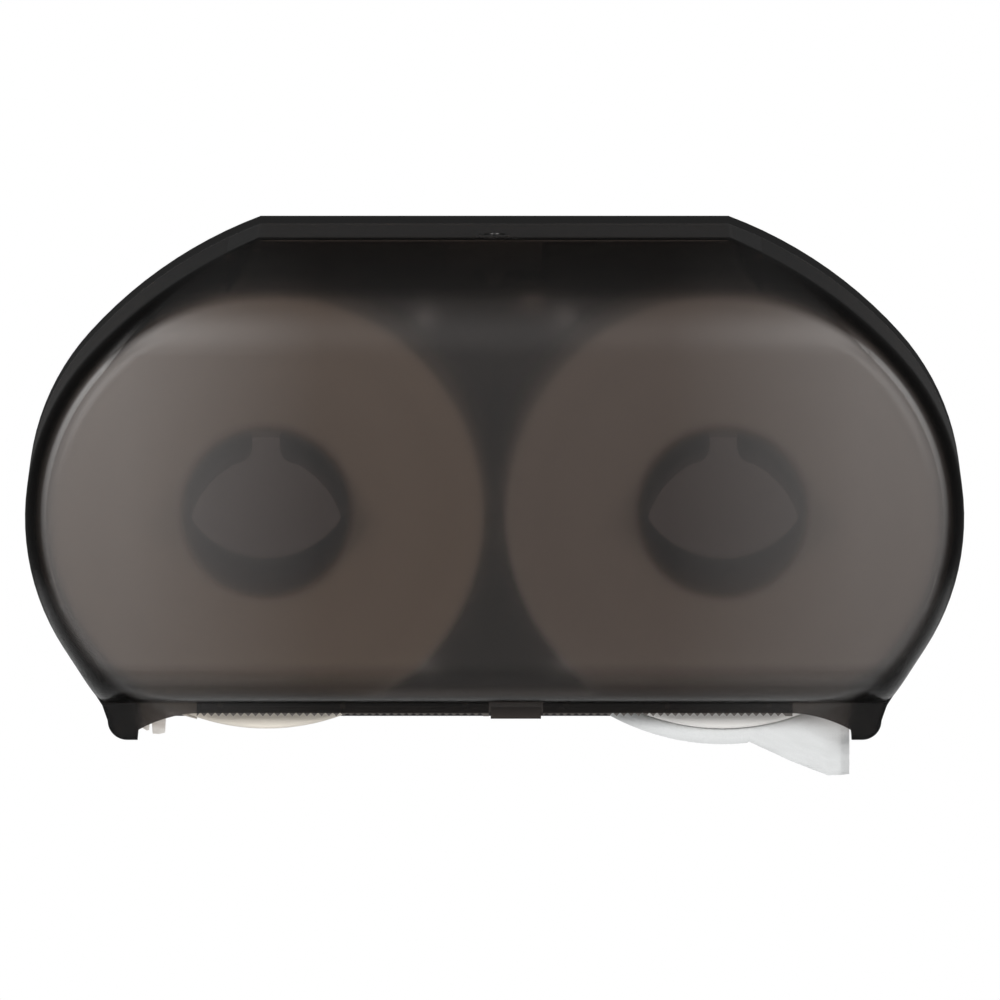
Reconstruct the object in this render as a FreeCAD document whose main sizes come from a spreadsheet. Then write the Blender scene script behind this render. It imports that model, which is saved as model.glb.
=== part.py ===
import FreeCAD, Part
import Sketcher
import math
import os

# Twin jumbo-roll toilet paper dispenser for a wall.
# Frame: the wall is the plane Y = 0 and the front faces -Y. Z = 0 is the height of both
# roll axes, and X = 0 is the middle of the case. Millimetres and degrees.

DRIVING_SIZES = [
    # the rolls that the case is built round
    ("roll_diameter", 226, "a full jumbo roll"),
    ("roll_gap", 10, "between the two rolls"),
    ("roll_front_gap", 38, "front face to the rolls"),
    ("roll_back_gap", 6, "back plate to the rolls"),
    ("core_bore", 86, "inside of the cardboard core"),
    ("core_wall", 1.6, "cardboard core"),
    ("core_fit", 0.05, "core to the innermost paper"),
    # the case, shared by the tray and the cover
    ("case_depth", 135, "wall to the front face"),
    ("tray_depth", 39, "wall to the parting plane"),
    ("parting_gap", 0.4, "tray to cover"),
    ("wall", 2.5, "moulded walls"),
    ("plate", 3, "back plate"),
    ("roll_room", 9, "rolls to the inside of the side walls"),
    ("head_room", 31, "rolls to the flat top"),
    ("flat_outset", 3.5, "roll axis outwards to the end of the flat top"),
    ("shoulder_angle", 42, "where the side arc turns into the shoulder"),
    ("lean_angle", 33, "where the side arc turns into the leaning side"),
    ("slope_run", 28, "front edge of the flat top to the front face"),
    ("slope_drop", 58, "height of the slope over the front face"),
    ("curl_radius", 19, "bottom of the front face"),
    ("side_round", 11, "rounded edge along the sides"),
    ("top_round", 4, "rounded edge along the top"),
    # hinge
    ("hinge_lead", 7, "parting plane to the hinge axis"),
    ("lug_offset", 56, "roll axis to the inner face of a hinge lug"),
    ("lug_thickness", 10, "hinge lug along X"),
    ("lug_radius", 7, "round end of a hinge lug"),
    ("lug_gap", 0.85, "hinge lug to the roll above it"),
    ("ear_gap", 0.5, "hinge lug to the cover's ear"),
    ("ear_width", 16, "hinge lug to the outside of the ear"),
    ("ear_drop", 10, "hinge axis to the bottom of the ear"),
    ("ear_clearance", 0.8, "turning ear to the tray"),
    ("ear_boss_radius", 6.5, "boss round the pin"),
    ("pin_diameter", 5, "hinge pins"),
    ("pin_fit", 0.05, "pin to its holes, on the radius"),
    ("pin_bite", 11, "pin into the ear"),
    # lip, tear bars and tab
    ("lip_rise", 4, "hinge axis to the bottom of the lip"),
    ("lip_height", 5, "bottom of the lip to the curl"),
    ("flare_rise", 4, "bottom of the lip to where the ears leave the leaning sides"),
    ("lip_arch_run", 34, "end of the lip that arches down to the ear"),
    ("lip_arch_drop", 9, "how far the arch comes down"),
    ("tab_low", -2, "left side of the tab under the lip"),
    ("tab_width", 26, "tab under the lip"),
    ("tab_drop", 3, "tab below the lip"),
    ("bar_end_gap", 20, "hinge lug to the outer end of a tear bar"),
    ("bar_gap", 1, "tear bar to the tab"),
    ("bar_thickness", 1.5, "tear bar"),
    ("bar_height", 7, "tear bar above the lip's edge"),
    ("tooth_pitch", 3.8, "tear bar teeth"),
    ("tooth_depth", 2, "tear bar teeth, below the lip"),
    ("stud_diameter", 3, "studs that carry the tear bars"),
    ("stud_fit", 0.1, "stud to its holes, on the radius"),
    ("stud_rise", 3.4, "lip's edge to the studs"),
    ("stud_inset", 12, "ends of a tear bar to its outer studs"),
    ("clip_diameter", 6.4, "push-on clips"),
    ("clip_thickness", 0.8, "push-on clips"),
    # spindles
    ("nib_gap", 0.3, "top of the spindle to the core"),
    ("nib_width", 14, "flat top of the spindle"),
    ("nib_height", 4.7, "straight sides of the nib"),
    ("neck_run", 8.3, "hollow under the nib, sideways"),
    ("neck_drop", 8.8, "hollow under the nib, downwards"),
    ("flank_radius", 47, "bulge of the spindle's flanks"),
    ("spindle_side_gap", 4, "side of the spindle to the core"),
    ("spindle_drop", 20.5, "axis to the bottom of the spindle"),
    ("spindle_corner", 4, "rounded side corners"),
    ("spindle_gap", 9, "front face to the spindle"),
    ("foot_diameter", 80, "round foot of the spindle"),
    ("foot_thickness", 3, "round foot of the spindle"),
    ("seat_gap", 0.3, "foot to its seat ring"),
    ("seat_wall", 2, "seat ring"),
    ("spindle_screw_side", 20, "axis to the two side screws"),
    ("spindle_screw_top", 19, "axis to the upper screw"),
    ("boss_diameter", 9, "screw bosses"),
    ("boss_length", 16, "screw bosses in a spindle"),
    ("web_thickness", 2, "webs that carry the screw bosses"),
    # fasteners
    ("screw_diameter", 4, "screws"),
    ("screw_fit", 0.2, "screw to clearance holes, on the radius"),
    ("thread_fit", 0.05, "screw to the holes it cuts into, on the radius"),
    ("screw_head_diameter", 8, "screw heads"),
    ("screw_head_height", 1.6, "screw heads"),
    ("screw_bite", 12, "screw in a boss"),
    # wall pattern and ribs
    ("wall_hole_diameter", 5.5, "wall-screw holes"),
    ("wall_hole_across", 72, "wall-screw holes, sideways"),
    ("wall_hole_up", 184, "wall-screw holes, upwards"),
    ("wall_pad_diameter", 18, "raised pads round the wall-screw holes"),
    ("wall_pad_height", 1.5, "raised pads round the wall-screw holes"),
    ("rib_side", 54, "middle to the upright ribs"),
    ("rib_thickness", 2, "ribs"),
    ("rib_height", 4, "ribs in front of the plate"),
    ("rib_end_gap", 22, "end of an upright rib to the case's top and bottom"),
    ("flange_depth", 8, "bottom flange of the tray"),
    ("skirt_drop", 1.5, "plate below the bottom flange"),
    # lock and strike
    ("housing_width", 49, "lock housing"),
    ("housing_depth", 25, "lock housing"),
    ("housing_height", 15.3, "lock housing"),
    ("housing_setback", 3, "front edge of the flat top to the housing"),
    ("housing_fit", 0.2, "housing to the flat top"),
    ("housing_screw_side", 18, "lock axis to the housing's screws"),
    ("housing_boss_diameter", 7, "bosses under the flat top"),
    ("housing_floor", 3, "housing under its bosses"),
    ("housing_screw_bite", 8, "screw in a housing boss"),
    ("lock_setback", 15, "front edge of the flat top to the lock axis"),
    ("barrel_diameter", 16, "lock barrel"),
    ("barrel_tail", 4.5, "barrel below its housing"),
    ("barrel_fit", 0.1, "barrel to its holes, on the radius"),
    ("plug_diameter", 11, "lock plug"),
    ("plug_fit", 0.05, "plug in its barrel, on the radius"),
    ("plug_sink", 0.4, "plug below the top of the barrel"),
    ("keyway_width", 2, "slot for the key"),
    ("keyway_length", 7.5, "slot for the key"),
    ("keyway_depth", 12, "slot for the key"),
    ("nut_width", 19, "lock nut across its flats"),
    ("nut_height", 3.5, "lock nut"),
    ("cam_gap", 1, "barrel to the cam"),
    ("cam_thickness", 2, "lock cam"),
    ("cam_width", 12, "lock cam"),
    ("cam_length", 24, "lock axis to the tip of the cam"),
    ("tail_diameter", 7, "end of the plug that carries the cam"),
    ("cam_screw_head", 2.5, "cam screw"),
    ("cam_screw_width", 10, "cam screw's head"),
    ("cam_screw_bite", 8, "cam screw in the plug"),
    ("strike_gap", 1, "cam to the strike, behind, above and below"),
    ("strike_side", 12.5, "middle to the strike"),
    ("strike_width", 14, "strike bracket"),
    ("strike_thickness", 2, "strike bracket"),
    ("strike_foot", 24, "foot of the strike bracket"),
    ("strike_boss_height", 3, "bosses under the foot"),
    ("strike_screw_pitch", 10, "screws in the foot"),
    # grip ribs on the front edge of the flat top
    ("grip_pitch", 4.2, "grip ribs"),
    ("grip_width", 2.2, "grip ribs"),
    ("grip_height", 0.8, "grip ribs"),
    ("grip_depth", 4, "grip ribs"),
    # paper tails
    ("paper_thickness", 0.8, "loose paper as a solid"),
    ("paper_gap", 0.5, "loose paper to the roll"),
    ("sag", 7.5, "loose turn below the right roll"),
    ("tail_angle", 45, "where the loose turn leaves the right roll"),
    ("tail_margin", 2, "edges of the roll to the edges of the loose turn"),
    ("flap_run", 40, "roll axis to the end of the loose turn"),
    ("flap_start", 8, "roll axis to the start of the flap"),
    ("flap_drop", 24.8, "roll to the lowest point of the flap"),
    ("flap_end", 8, "lowest edge of the flap"),
    ("scrap_width", 20, "hinge lug to the end of the left tail's turn"),
    ("scrap_tear", 3, "uneven tear of the left tail"),
]

GRIP_RIBS = 6
STUDS_PER_BAR = 3
NUT_SIDES = 6
FLAT = 1e-4  # how close counts as touching or level
SIDES = (("left", -1), ("right", 1))

doc = FreeCAD.newDocument("dispenser")
sheet = doc.addObject("Spreadsheet::Sheet", "sizes")
for row, (alias, value, note) in enumerate(DRIVING_SIZES, 1):
    sheet.set(f"A{row}", note)
    sheet.set(f"B{row}", str(value))
    sheet.setAlias(f"B{row}", alias)
doc.recompute()


# A size knows its value and its formula, so that one line of code gives both.
class Size:
    def __init__(self, value, formula):
        self.value = value
        self.formula = formula

    def __add__(self, other):
        return combine(self, "+", other)

    def __radd__(self, other):
        return combine(other, "+", self)

    def __sub__(self, other):
        return combine(self, "-", other)

    def __rsub__(self, other):
        return combine(other, "-", self)

    def __mul__(self, other):
        return combine(self, "*", other)

    def __rmul__(self, other):
        return combine(other, "*", self)

    def __truediv__(self, other):
        return combine(self, "/", other)

    def __neg__(self):
        return combine(0, "-", self)


def as_size(number):
    return number if isinstance(number, Size) else Size(float(number), str(number))


def combine(left, sign, right):
    left = as_size(left)
    right = as_size(right)
    results = {
        "+": left.value + right.value,
        "-": left.value - right.value,
        "*": left.value * right.value,
        "/": left.value / right.value if sign == "/" else None,
    }
    return Size(results[sign], f"({left.formula} {sign} {right.formula})")


def root(size):
    return Size(math.sqrt(size.value), f"sqrt({size.formula})")


def sine(angle):
    return Size(math.sin(math.radians(angle.value)), f"sin({angle.formula})")


def cosine(angle):
    return Size(math.cos(math.radians(angle.value)), f"cos({angle.formula})")


def squared(size):
    return size * size


class DrivingSizes:
    def __getattr__(self, alias):
        return Size(float(sheet.get(alias)), f"sizes.{alias}")


s = DrivingSizes()


# Document helpers
def bind(thing, prop, size):
    thing.setExpression(prop, as_size(size).formula)


def place(thing, x=0, y=0, z=0):
    for axis, size in zip("xyz", (x, y, z)):
        bind(thing, f"Placement.Base.{axis}", size)


def box(name, x, y, z):
    solid = doc.addObject("Part::Box", name)
    for prop, (low, high) in zip(("Length", "Width", "Height"), (x, y, z)):
        bind(solid, prop, high - low)
    place(solid, x[0], y[0], z[0])
    return solid


ROD_TURNS = {
    "x": FreeCAD.Rotation(FreeCAD.Vector(0, 1, 0), 90),
    "y": FreeCAD.Rotation(FreeCAD.Vector(1, 0, 0), -90),
    "z": FreeCAD.Rotation(),
}


# A cylinder along one axis from low to high; middle gives the other two coordinates in order.
def rod(name, axis, middle, low, high, radius):
    solid = doc.addObject("Part::Cylinder", name)
    solid.Placement = FreeCAD.Placement(FreeCAD.Vector(), ROD_TURNS[axis])
    bind(solid, "Radius", radius)
    bind(solid, "Height", high - low)
    others = iter(middle)
    place(solid, *[low if letter == axis else next(others) for letter in "xyz"])
    return solid


def cut(name, base, *tools):
    result = doc.addObject("Part::Cut", name)
    result.Base = base
    result.Tool = tools[0] if len(tools) == 1 else fuse(name + "_tools", *tools)
    result.Refine = True
    return result


def fuse(name, *solids):
    result = doc.addObject("Part::MultiFuse", name)
    result.Shapes = list(solids)
    result.Refine = True
    return result


def group(name, *solids):
    result = doc.addObject("Part::Compound", name)
    result.Links = list(solids)
    return result


def new_body(name):
    return doc.addObject("PartDesign::Body", name)


# A sketch of closed loops on one of the body's planes, moved along the plane's normal.
def new_sketch(body, name, role, offset, loops):
    sketch = body.newObject("Sketcher::SketchObject", name)
    plane = [feature for feature in body.Origin.OriginFeatures if feature.Role == role][0]
    sketch.AttachmentSupport = [(plane, "")]
    sketch.MapMode = "FlatFace"
    bind(sketch, "AttachmentOffset.Base.z", offset)
    for loop in loops:
        if isinstance(loop, dict):
            draw_circle(sketch, **loop)
        else:
            draw_loop(sketch, loop)
    return sketch


def fix(sketch, kind, *where):
    *place_on, size = where
    number = sketch.addConstraint(Sketcher.Constraint(kind, *place_on, as_size(size).value))
    sketch.setExpression(f"Constraints[{number}]", as_size(size).formula)


def draw_circle(sketch, x, y, radius):
    centre = FreeCAD.Vector(as_size(x).value, as_size(y).value, 0)
    circle = Part.Circle(centre, FreeCAD.Vector(0, 0, 1), as_size(radius).value)
    index = sketch.addGeometry(circle)
    fix(sketch, "Radius", index, radius)
    fix(sketch, "DistanceX", index, 3, x)
    fix(sketch, "DistanceY", index, 3, y)


# Each corner is (x, y), or (x, y, radius) where an arc leads to it: a positive radius turns
# left on the way there and a negative one turns right. No arc reaches a half circle.
def draw_loop(sketch, corners):
    start_end = []
    for number, corner in enumerate(corners):
        before = corners[number - 1]
        first = FreeCAD.Vector(as_size(before[0]).value, as_size(before[1]).value, 0)
        last = FreeCAD.Vector(as_size(corner[0]).value, as_size(corner[1]).value, 0)
        if len(corner) == 2:
            index = sketch.addGeometry(Part.LineSegment(first, last))
            start_end.append((index, 1, 2))
            continue
        radius = as_size(corner[2])
        turns_left = radius.value > 0
        reach = abs(radius.value)
        chord = last - first
        side = FreeCAD.Vector(-chord.y, chord.x, 0).normalize() * (1 if turns_left else -1)
        centre = (first + last) / 2 + side * math.sqrt(reach ** 2 - chord.Length ** 2 / 4)
        ends = (first, last) if turns_left else (last, first)
        angles = [math.atan2((end - centre).y, (end - centre).x) for end in ends]
        circle = Part.Circle(centre, FreeCAD.Vector(0, 0, 1), reach)
        index = sketch.addGeometry(Part.ArcOfCircle(circle, *angles))
        start_end.append((index, 1, 2) if turns_left else (index, 2, 1))
        fix(sketch, "Radius", index, radius if turns_left else -radius)
    for number, corner in enumerate(corners):
        index, start, end = start_end[number]
        following = start_end[(number + 1) % len(corners)]
        sketch.addConstraint(Sketcher.Constraint("Coincident", index, end, following[0], following[1]))
        fix(sketch, "DistanceX", index, end, corner[0])
        fix(sketch, "DistanceY", index, end, corner[1])


def pad(body, name, role, offset, length, *loops):
    feature = body.newObject("PartDesign::Pad", name)
    feature.Profile = new_sketch(body, name + "_sketch", role, offset, loops)
    bind(feature, "Length", length)
    return feature


# A pocket on the XZ plane, cut from the given depth towards the front or towards the wall.
def pocket(body, name, depth, length, to_front, *loops):
    feature = body.newObject("PartDesign::Pocket", name)
    feature.Profile = new_sketch(body, name + "_sketch", "XZ_Plane", depth, loops)
    bind(feature, "Length", length)
    feature.Reversed = to_front
    return feature


# A loop for both halves from the corners of the right half, top to bottom. The bottom is
# straight unless it is given a radius.
def mirrored(right, *bottom_radius):
    left = []
    for number in range(len(right) - 1, -1, -1):
        x, y = right[number][:2]
        arc = right[number + 1][2:] if number + 1 < len(right) else bottom_radius
        left.append((-x, y, *arc))
    return right + left


# Places that several pieces share
axis_x = (s.roll_diameter + s.roll_gap) / 2
roll_radius = s.roll_diameter / 2
core_radius = s.core_bore / 2
roll_back = -(s.plate + s.roll_back_gap)
roll_front = s.roll_front_gap - s.case_depth
side_radius = roll_radius + s.roll_room + s.wall
top_z = roll_radius + s.head_room
front_y = -s.case_depth
cover_back = s.tray_depth + s.parting_gap
lug_inner = axis_x + s.lug_offset
lug_outer = lug_inner + s.lug_thickness
ear_inner = lug_outer + s.ear_gap
ear_outer = lug_outer + s.ear_width
hinge_y = -(s.tray_depth + s.hinge_lead)
hinge_z = -(root(squared(roll_radius) - squared(s.lug_offset)) + s.lug_gap + s.lug_radius)
ear_z = hinge_z - s.ear_drop
lip_y = front_y + s.curl_radius
lip_z = hinge_z + s.lip_rise
flat_half = axis_x + s.flat_outset
flat_front = front_y + s.slope_run
lock_y = flat_front + s.lock_setback
bar_reach = lug_inner - s.bar_end_gap
case_half = axis_x + side_radius


# The case seen from the front, drawn in by an even amount
def case_outline(inset):
    radius = side_radius - inset
    shoulder_run = radius * cosine(s.shoulder_angle)
    shoulder_x = axis_x + shoulder_run
    shoulder_z = radius * sine(s.shoulder_angle)
    crown_z = top_z - inset
    run = shoulder_x - flat_half
    rise = crown_z - shoulder_z
    # the shoulder is an arc that carries on from the side arc and ends at the flat top
    bend = 2 * (cosine(s.shoulder_angle) * run - sine(s.shoulder_angle) * rise)
    shoulder_radius = (squared(run) + squared(rise)) / bend
    lean_x = axis_x + radius * cosine(s.lean_angle)
    lean_z = -(radius * sine(s.lean_angle))
    flare_z = lip_z + s.flare_rise + inset * sine(s.lean_angle)
    flare_x = lean_x - (lean_z - flare_z) * sine(s.lean_angle) / cosine(s.lean_angle)
    return mirrored([
        (flat_half, crown_z),
        (shoulder_x, shoulder_z, -shoulder_radius),
        (lean_x, lean_z, -radius),
        (flare_x, flare_z),
        (ear_outer - inset, hinge_z),
        (ear_outer - s.ear_drop, ear_z + inset, -(s.ear_drop - inset)),
    ])


slope_radius = (squared(s.slope_run) + squared(s.slope_drop)) / (2 * s.slope_run)
slope_z = top_z - s.slope_drop
curl_z = lip_z + s.lip_height + s.curl_radius


# The cover seen from the side as (y, z), drawn in by an even amount
def cover_profile(inset, back_corners):
    slope_reach = squared(slope_radius - inset) - squared(s.slope_drop - inset)
    lip_front = s.wall - inset
    curl_reach = squared(s.curl_radius - inset) - squared(lip_front)
    return [
        (front_y + slope_radius - root(slope_reach), top_z - inset),
        (front_y + inset, slope_z, slope_radius - inset),
        (front_y + inset, curl_z),
        (lip_y - lip_front, curl_z - root(curl_reach), s.curl_radius - inset),
        (lip_y - lip_front, ear_z + inset),
        *back_corners,
    ]


# A solid with the case's outline from the front and the cover's profile from the side
def cover_form(name, inset, back, back_corners):
    front_form = new_body(name + "_front_form")
    pad(front_form, name + "_front", "XZ_Plane", back, s.case_depth - back, case_outline(inset))
    side_form = new_body(name + "_side_form")
    profile = cover_profile(inset, back_corners)
    reach = case_half + s.wall
    pad(side_form, name + "_side", "YZ_Plane", -reach, 2 * reach, profile)
    form = doc.addObject("Part::Common", name + "_form")
    form.Base = front_form
    form.Tool = side_form
    doc.recompute()
    return form


# Rounds the edges between the front of a cover form and its walls. The rounding grows along
# the shoulders from the top's radius to the sides' radius.
def rounded(name, form, top_radius, side_radius_here):
    shape = form.Shape
    lip_front = (lip_y - s.wall).value
    edges = []
    for number, edge in enumerate(shape.Edges, 1):
        middle = edge.valueAt((edge.FirstParameter + edge.LastParameter) / 2)
        normals = []
        for face in shape.ancestorsOfType(edge, Part.Face):
            normals.append(face.normalAt(*face.Surface.parameter(middle)))
        walls = [normal for normal in normals if abs(normal.y) < FLAT]
        fronts = [normal for normal in normals if normal.y < -FLAT]
        beside_lip = middle.z < curl_z.value and middle.y > lip_front - FLAT
        if len(walls) != 1 or len(fronts) != 1 or beside_lip:
            continue
        radii = [edge_round(vertex.Point.z, top_radius, side_radius_here) for vertex in edge.Vertexes]
        edges.append((number, radii[0], radii[-1]))
    fillet = doc.addObject("Part::Fillet", name)
    fillet.Base = form
    fillet.Edges = edges
    return fillet


def edge_round(z, top_radius, side_radius_here):
    low = (side_radius * sine(s.shoulder_angle)).value
    share = min(max((z - low) / (top_z.value - s.wall.value - low), 0), 1)
    return side_radius_here.value + (top_radius.value - side_radius_here.value) * share


# Low and high ends of a stretch along X on the left or the right side
def on_side(sign, near, far):
    return (near, far) if sign > 0 else (-far, -near)


# The back plate: a tray with a rim, hinge lugs, spindle seats, ribs and screw pads
def make_back_plate():
    body = new_body("back_plate_form")
    pad(body, "tray_block", "XZ_Plane", 0, s.tray_depth, case_outline(as_size(0)))
    pocket(body, "tray_hollow", s.plate, s.tray_depth, True, case_outline(s.wall))
    low = ear_z - s.wall
    high = ear_z + s.wall
    opening = mirrored([(lug_inner, high), (lug_inner, low)])
    pocket(body, "bottom_opening", s.flange_depth, s.tray_depth, True, opening)
    skirt_loop = mirrored([(lug_inner, high), (lug_inner, ear_z - s.skirt_drop)])
    pad(body, "skirt", "XZ_Plane", 0, s.plate, skirt_loop)
    for side, sign in SIDES:
        lug_loop = [
            (0, ear_z),
            (0, hinge_z + s.lug_radius),
            (hinge_y, hinge_z + s.lug_radius),
            (hinge_y - s.lug_radius, hinge_z, s.lug_radius),
            (hinge_y, hinge_z - s.lug_radius, s.lug_radius),
        ]
        start = on_side(sign, lug_inner, lug_outer)[0]
        pad(body, f"hinge_lug_{side}", "YZ_Plane", start, s.lug_thickness, lug_loop)
        seat_radius = s.foot_diameter / 2 + s.seat_gap
        outer = dict(x=sign * axis_x, y=0, radius=seat_radius + s.seat_wall)
        inner = dict(x=sign * axis_x, y=0, radius=seat_radius)
        pad(body, f"seat_ring_{side}", "XZ_Plane", s.plate, s.foot_thickness, outer, inner)
        key_half = s.nib_width / 2 + s.seat_gap
        key_top = seat_radius + s.seat_wall * 2
        key_loop = [
            (sign * axis_x - key_half, 0),
            (sign * axis_x + key_half, 0),
            (sign * axis_x + key_half, key_top),
            (sign * axis_x - key_half, key_top),
        ]
        pocket(body, f"seat_key_{side}", s.plate, s.foot_thickness, True, key_loop)
        rib_x = sign * s.rib_side
        rib_loop = [
            (rib_x - s.rib_thickness / 2, ear_z + s.rib_end_gap),
            (rib_x + s.rib_thickness / 2, ear_z + s.rib_end_gap),
            (rib_x + s.rib_thickness / 2, top_z - s.rib_end_gap),
            (rib_x - s.rib_thickness / 2, top_z - s.rib_end_gap),
        ]
        pad(body, f"rib_{side}", "XZ_Plane", s.plate, s.rib_height, rib_loop)
    wall_pads = [dict(x=x, y=z, radius=s.wall_pad_diameter / 2) for x, z in wall_hole_places()]
    pad(body, "wall_pads", "XZ_Plane", s.plate, s.wall_pad_height, *wall_pads)
    strike_bosses = [dict(x=strike_x, y=z, radius=s.boss_diameter / 2) for z in strike_screw_heights]
    pad(body, "strike_bosses", "XZ_Plane", s.plate, s.strike_boss_height, *strike_bosses)
    through = s.tray_depth
    wall_holes = [dict(x=x, y=z, radius=s.wall_hole_diameter / 2) for x, z in wall_hole_places()]
    pocket(body, "wall_holes", 0, through, True, *wall_holes)
    pilot = s.screw_diameter / 2 + s.thread_fit
    pilots = [dict(x=strike_x, y=z, radius=pilot) for z in strike_screw_heights]
    pocket(body, "strike_pilots", 0, through, True, *pilots)
    spindle_holes = []
    head_seats = []
    for side, sign in SIDES:
        for x, z in spindle_screw_places():
            place_here = dict(x=sign * axis_x + x, y=z)
            spindle_holes.append(dict(place_here, radius=s.screw_diameter / 2 + s.screw_fit))
            head_seats.append(dict(place_here, radius=s.screw_head_diameter / 2 + s.screw_fit))
    pocket(body, "spindle_holes", 0, through, True, *spindle_holes)
    pocket(body, "head_seats", 0, s.screw_head_height + s.screw_fit, True, *head_seats)
    clearances = []
    for side, sign in SIDES:
        ear_x = on_side(sign, lug_outer + s.ear_gap / 2, ear_outer + s.wall * 2)
        ear_sweep = s.ear_drop + s.ear_clearance
        clearances.append(rod(f"ear_room_{side}", "x", (hinge_y, hinge_z), *ear_x, ear_sweep))
        clearances.append(box(f"heel_room_{side}", ear_x, (hinge_y, hinge_y + ear_sweep),
                              (ear_z - s.wall, hinge_z)))
        pin_x = on_side(sign, lug_inner - s.wall, lug_outer + s.wall)
        pin_hole = s.pin_diameter / 2 + s.pin_fit
        clearances.append(rod(f"lug_hole_{side}", "x", (hinge_y, hinge_z), *pin_x, pin_hole))
    return cut("back_plate", body, *clearances)


def wall_hole_places():
    across = s.wall_hole_across / 2
    up = s.wall_hole_up / 2
    return [(across, up), (-across, up), (-across, -up), (across, -up)]


def spindle_screw_places():
    return [(-s.spindle_screw_side, 0), (s.spindle_screw_side, 0), (as_size(0), s.spindle_screw_top)]


# Lock heights, from the flat top down
housing_top = top_z - s.wall - s.housing_fit
housing_bottom = housing_top - s.housing_height
barrel_bottom = housing_bottom - s.barrel_tail
cam_top = barrel_bottom - s.cam_gap
cam_bottom = cam_top - s.cam_thickness
strike_top = cam_bottom - s.strike_gap
strike_x = s.strike_side + s.strike_width / 2
strike_foot_middle = strike_top - s.strike_foot / 2
strike_screw_heights = (
    strike_foot_middle - s.strike_screw_pitch / 2,
    strike_foot_middle + s.strike_screw_pitch / 2,
)
foot_back = -(s.plate + s.strike_boss_height)
foot_front = foot_back - s.strike_thickness


# The spindle's section: a nib that the core hangs on, hollow necks, bulging flanks and a
# shallow rounded bottom
def spindle_section(inset):
    nib = s.nib_width / 2 - inset
    nib_top = root(squared(core_radius - s.nib_gap) - squared(s.nib_width / 2)) - inset
    neck_z = nib_top - s.nib_height + inset
    neck_x = nib + s.neck_run
    flank_z = neck_z - s.neck_drop - inset
    corner = core_radius - s.spindle_side_gap - inset
    neck_radius = (squared(s.neck_run) + squared(neck_z - flank_z)) / (2 * s.neck_run)
    drop = s.spindle_drop - inset
    belly_radius = (squared(corner) + squared(drop)) / (2 * drop)
    return mirrored([
        (nib, nib_top),
        (nib, neck_z),
        (neck_x, flank_z, neck_radius),
        (corner, 0, -s.flank_radius),
    ], -belly_radius)


# A hollow post, open at the wall, with a round foot and screw bosses on crossed webs
def make_spindle(side, sign):
    body = new_body(f"spindle_{side}")
    length = s.case_depth - s.spindle_gap - s.plate
    post = pad(body, f"post_{side}", "XZ_Plane", s.plate, length, spindle_section(as_size(0)))
    doc.recompute()
    corners = []
    for number, edge in enumerate(post.Shape.Edges, 1):
        ends = [vertex.Point for vertex in edge.Vertexes]
        at_corner = all(abs(end.z) < FLAT and abs(end.x) > s.nib_width.value for end in ends)
        if at_corner and abs(ends[0].y - ends[-1].y) > FLAT:
            corners.append(f"Edge{number}")
    corner_round = body.newObject("PartDesign::Fillet", f"corners_{side}")
    corner_round.Base = (post, corners)
    bind(corner_round, "Radius", s.spindle_corner)
    foot = dict(x=0, y=0, radius=s.foot_diameter / 2)
    pad(body, f"foot_{side}", "XZ_Plane", s.plate, s.foot_thickness, foot)
    hollow = spindle_section(s.wall)
    pocket(body, f"hollow_{side}", s.plate, length - s.wall, True, hollow)
    half_web = s.web_thickness / 2
    web_end = core_radius - s.spindle_side_gap - s.wall / 2
    web_top = core_radius - s.nib_gap - s.wall
    level_web = mirrored([(web_end, half_web), (web_end, -half_web)])
    pad(body, f"level_web_{side}", "XZ_Plane", s.plate, s.boss_length, level_web)
    upright_web = mirrored([(half_web, web_top), (half_web, 0)])
    pad(body, f"upright_web_{side}", "XZ_Plane", s.plate, s.boss_length, upright_web)
    places = spindle_screw_places()
    bosses = [dict(x=x, y=z, radius=s.boss_diameter / 2) for x, z in places]
    pad(body, f"bosses_{side}", "XZ_Plane", s.plate, s.boss_length, *bosses)
    pilots = [dict(x=x, y=z, radius=s.screw_diameter / 2 + s.thread_fit) for x, z in places]
    pocket(body, f"pilots_{side}", s.plate, s.boss_length, True, *pilots)
    place(body, sign * axis_x)
    return body


# A screw: a flat round head and a plain shank. Along the axis the head runs from face to top.
def screw(name, axis, middle, face, head_top, tip, shank_radius, head_radius):
    head = rod(name + "_head", axis, middle, *in_order(face, head_top), head_radius)
    shank = rod(name + "_shank", axis, middle, *in_order(face, tip), shank_radius)
    return fuse(name, head, shank)


def in_order(first, second):
    return (first, second) if first.value < second.value else (second, first)


def make_spindle_screws():
    screws = []
    face = -(s.screw_head_height + s.screw_fit)
    for side, sign in SIDES:
        for number, (x, z) in enumerate(spindle_screw_places()):
            screws.append(screw(
                f"spindle_screw_{side}_{number}", "y", (sign * axis_x + x, z),
                face, face + s.screw_head_height, face - s.screw_bite,
                s.screw_diameter / 2, s.screw_head_diameter / 2))
    return group("spindle_screws", *screws)


def make_hinge_pin(side, sign):
    ends = on_side(sign, lug_inner, ear_inner + s.pin_bite)
    return rod(f"hinge_pin_{side}", "x", (hinge_y, hinge_z), *ends, s.pin_diameter / 2)


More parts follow.
